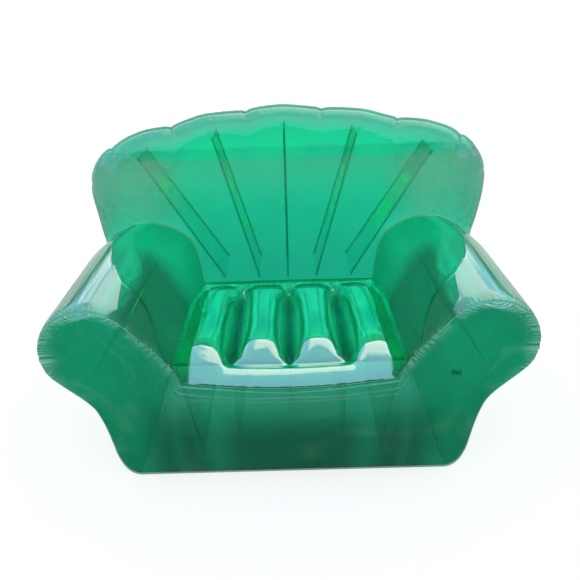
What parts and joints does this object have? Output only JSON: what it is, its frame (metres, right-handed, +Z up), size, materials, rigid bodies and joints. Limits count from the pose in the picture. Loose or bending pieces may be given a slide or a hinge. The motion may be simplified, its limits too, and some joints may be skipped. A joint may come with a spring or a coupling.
{
  "type": "inflatable sofa",
  "caption": "Inflatable wide armchair sofa of clear green film: lobed seat, rolled arms and a fan-shaped backrest with radiating ribs and scalloped seam.",
  "frame": {"origin": "middle of the sofa on the floor", "axes": "+Z up, +Y from the front to the backrest, +X to the right as seen from the front"},
  "size_m": [1.2428, 0.8082, 0.8402],
  "materials": {
    "green_film": "clear tinted film, very glossy",
    "valve_vinyl": "soft moulded vinyl, slightly glossy"
  },
  "bodies": {
    "sofa": {"back_valve_flange": "valve_vinyl", "backrest_front_skin": "green_film", "backrest_rear_skin": "green_film", "backrest_rib_centre": "green_film", "backrest_rib_left_inner": "green_film", "backrest_rib_left_outer": "green_film", "backrest_rib_right_inner": "green_film", "backrest_rib_right_outer": "green_film", "base_valve_flange": "valve_vinyl", "bottom_panel": "green_film", "front_panel": "green_film", "left_arm_web": "green_film", "left_arm_wrap": "green_film", "left_side_web": "green_film", "right_arm_web": "green_film", "right_arm_wrap": "green_film", "right_side_web": "green_film", "seat_panel": "green_film", "seat_rib_left": "green_film", "seat_rib_middle": "green_film", "seat_rib_right": "green_film"},
    "base_valve_stem": {"base_valve_stem": "valve_vinyl"},
    "base_valve_cap": {"base_valve_cap": "valve_vinyl"},
    "base_valve_flap": {"base_valve_flap": "valve_vinyl"},
    "back_valve_stem": {"back_valve_stem": "valve_vinyl"},
    "back_valve_cap": {"back_valve_cap": "valve_vinyl"},
    "back_valve_flap": {"back_valve_flap": "valve_vinyl"}
  },
  "joints": [
    {"name": "base_valve_stem_slide", "type": "slide", "parent": "sofa", "child": "base_valve_stem", "axis": [0.9702, 0, -0.2424], "range_m": [0, 0.0105]},
    {"name": "base_valve_cap_pull", "type": "slide", "parent": "base_valve_stem", "child": "base_valve_cap", "axis": [0.9702, 0, -0.2424], "range_m": [0, 0.012]},
    {"name": "base_valve_flap_hinge", "type": "hinge", "parent": "base_valve_stem", "child": "base_valve_flap", "pos_m": [0.46304, -0.16642, 0.18143], "axis": [0, 1, 0], "range_deg": [0, 45], "stiffness_Nm_per_rad": 0.0005},
    {"name": "back_valve_stem_slide", "type": "slide", "parent": "sofa", "child": "back_valve_stem", "axis": [0.0282, 0.9787, -0.2035], "range_m": [0, 0.0105]},
    {"name": "back_valve_cap_pull", "type": "slide", "parent": "back_valve_stem", "child": "back_valve_cap", "axis": [0.0282, 0.9787, -0.2035], "range_m": [0, 0.012]},
    {"name": "back_valve_flap_hinge", "type": "hinge", "parent": "back_valve_stem", "child": "back_valve_flap", "pos_m": [-0.30209, 0.27203, 0.13876], "axis": [-0.9996, 0.0288, 0], "range_deg": [0, 45], "stiffness_Nm_per_rad": 0.0005}
  ]
}
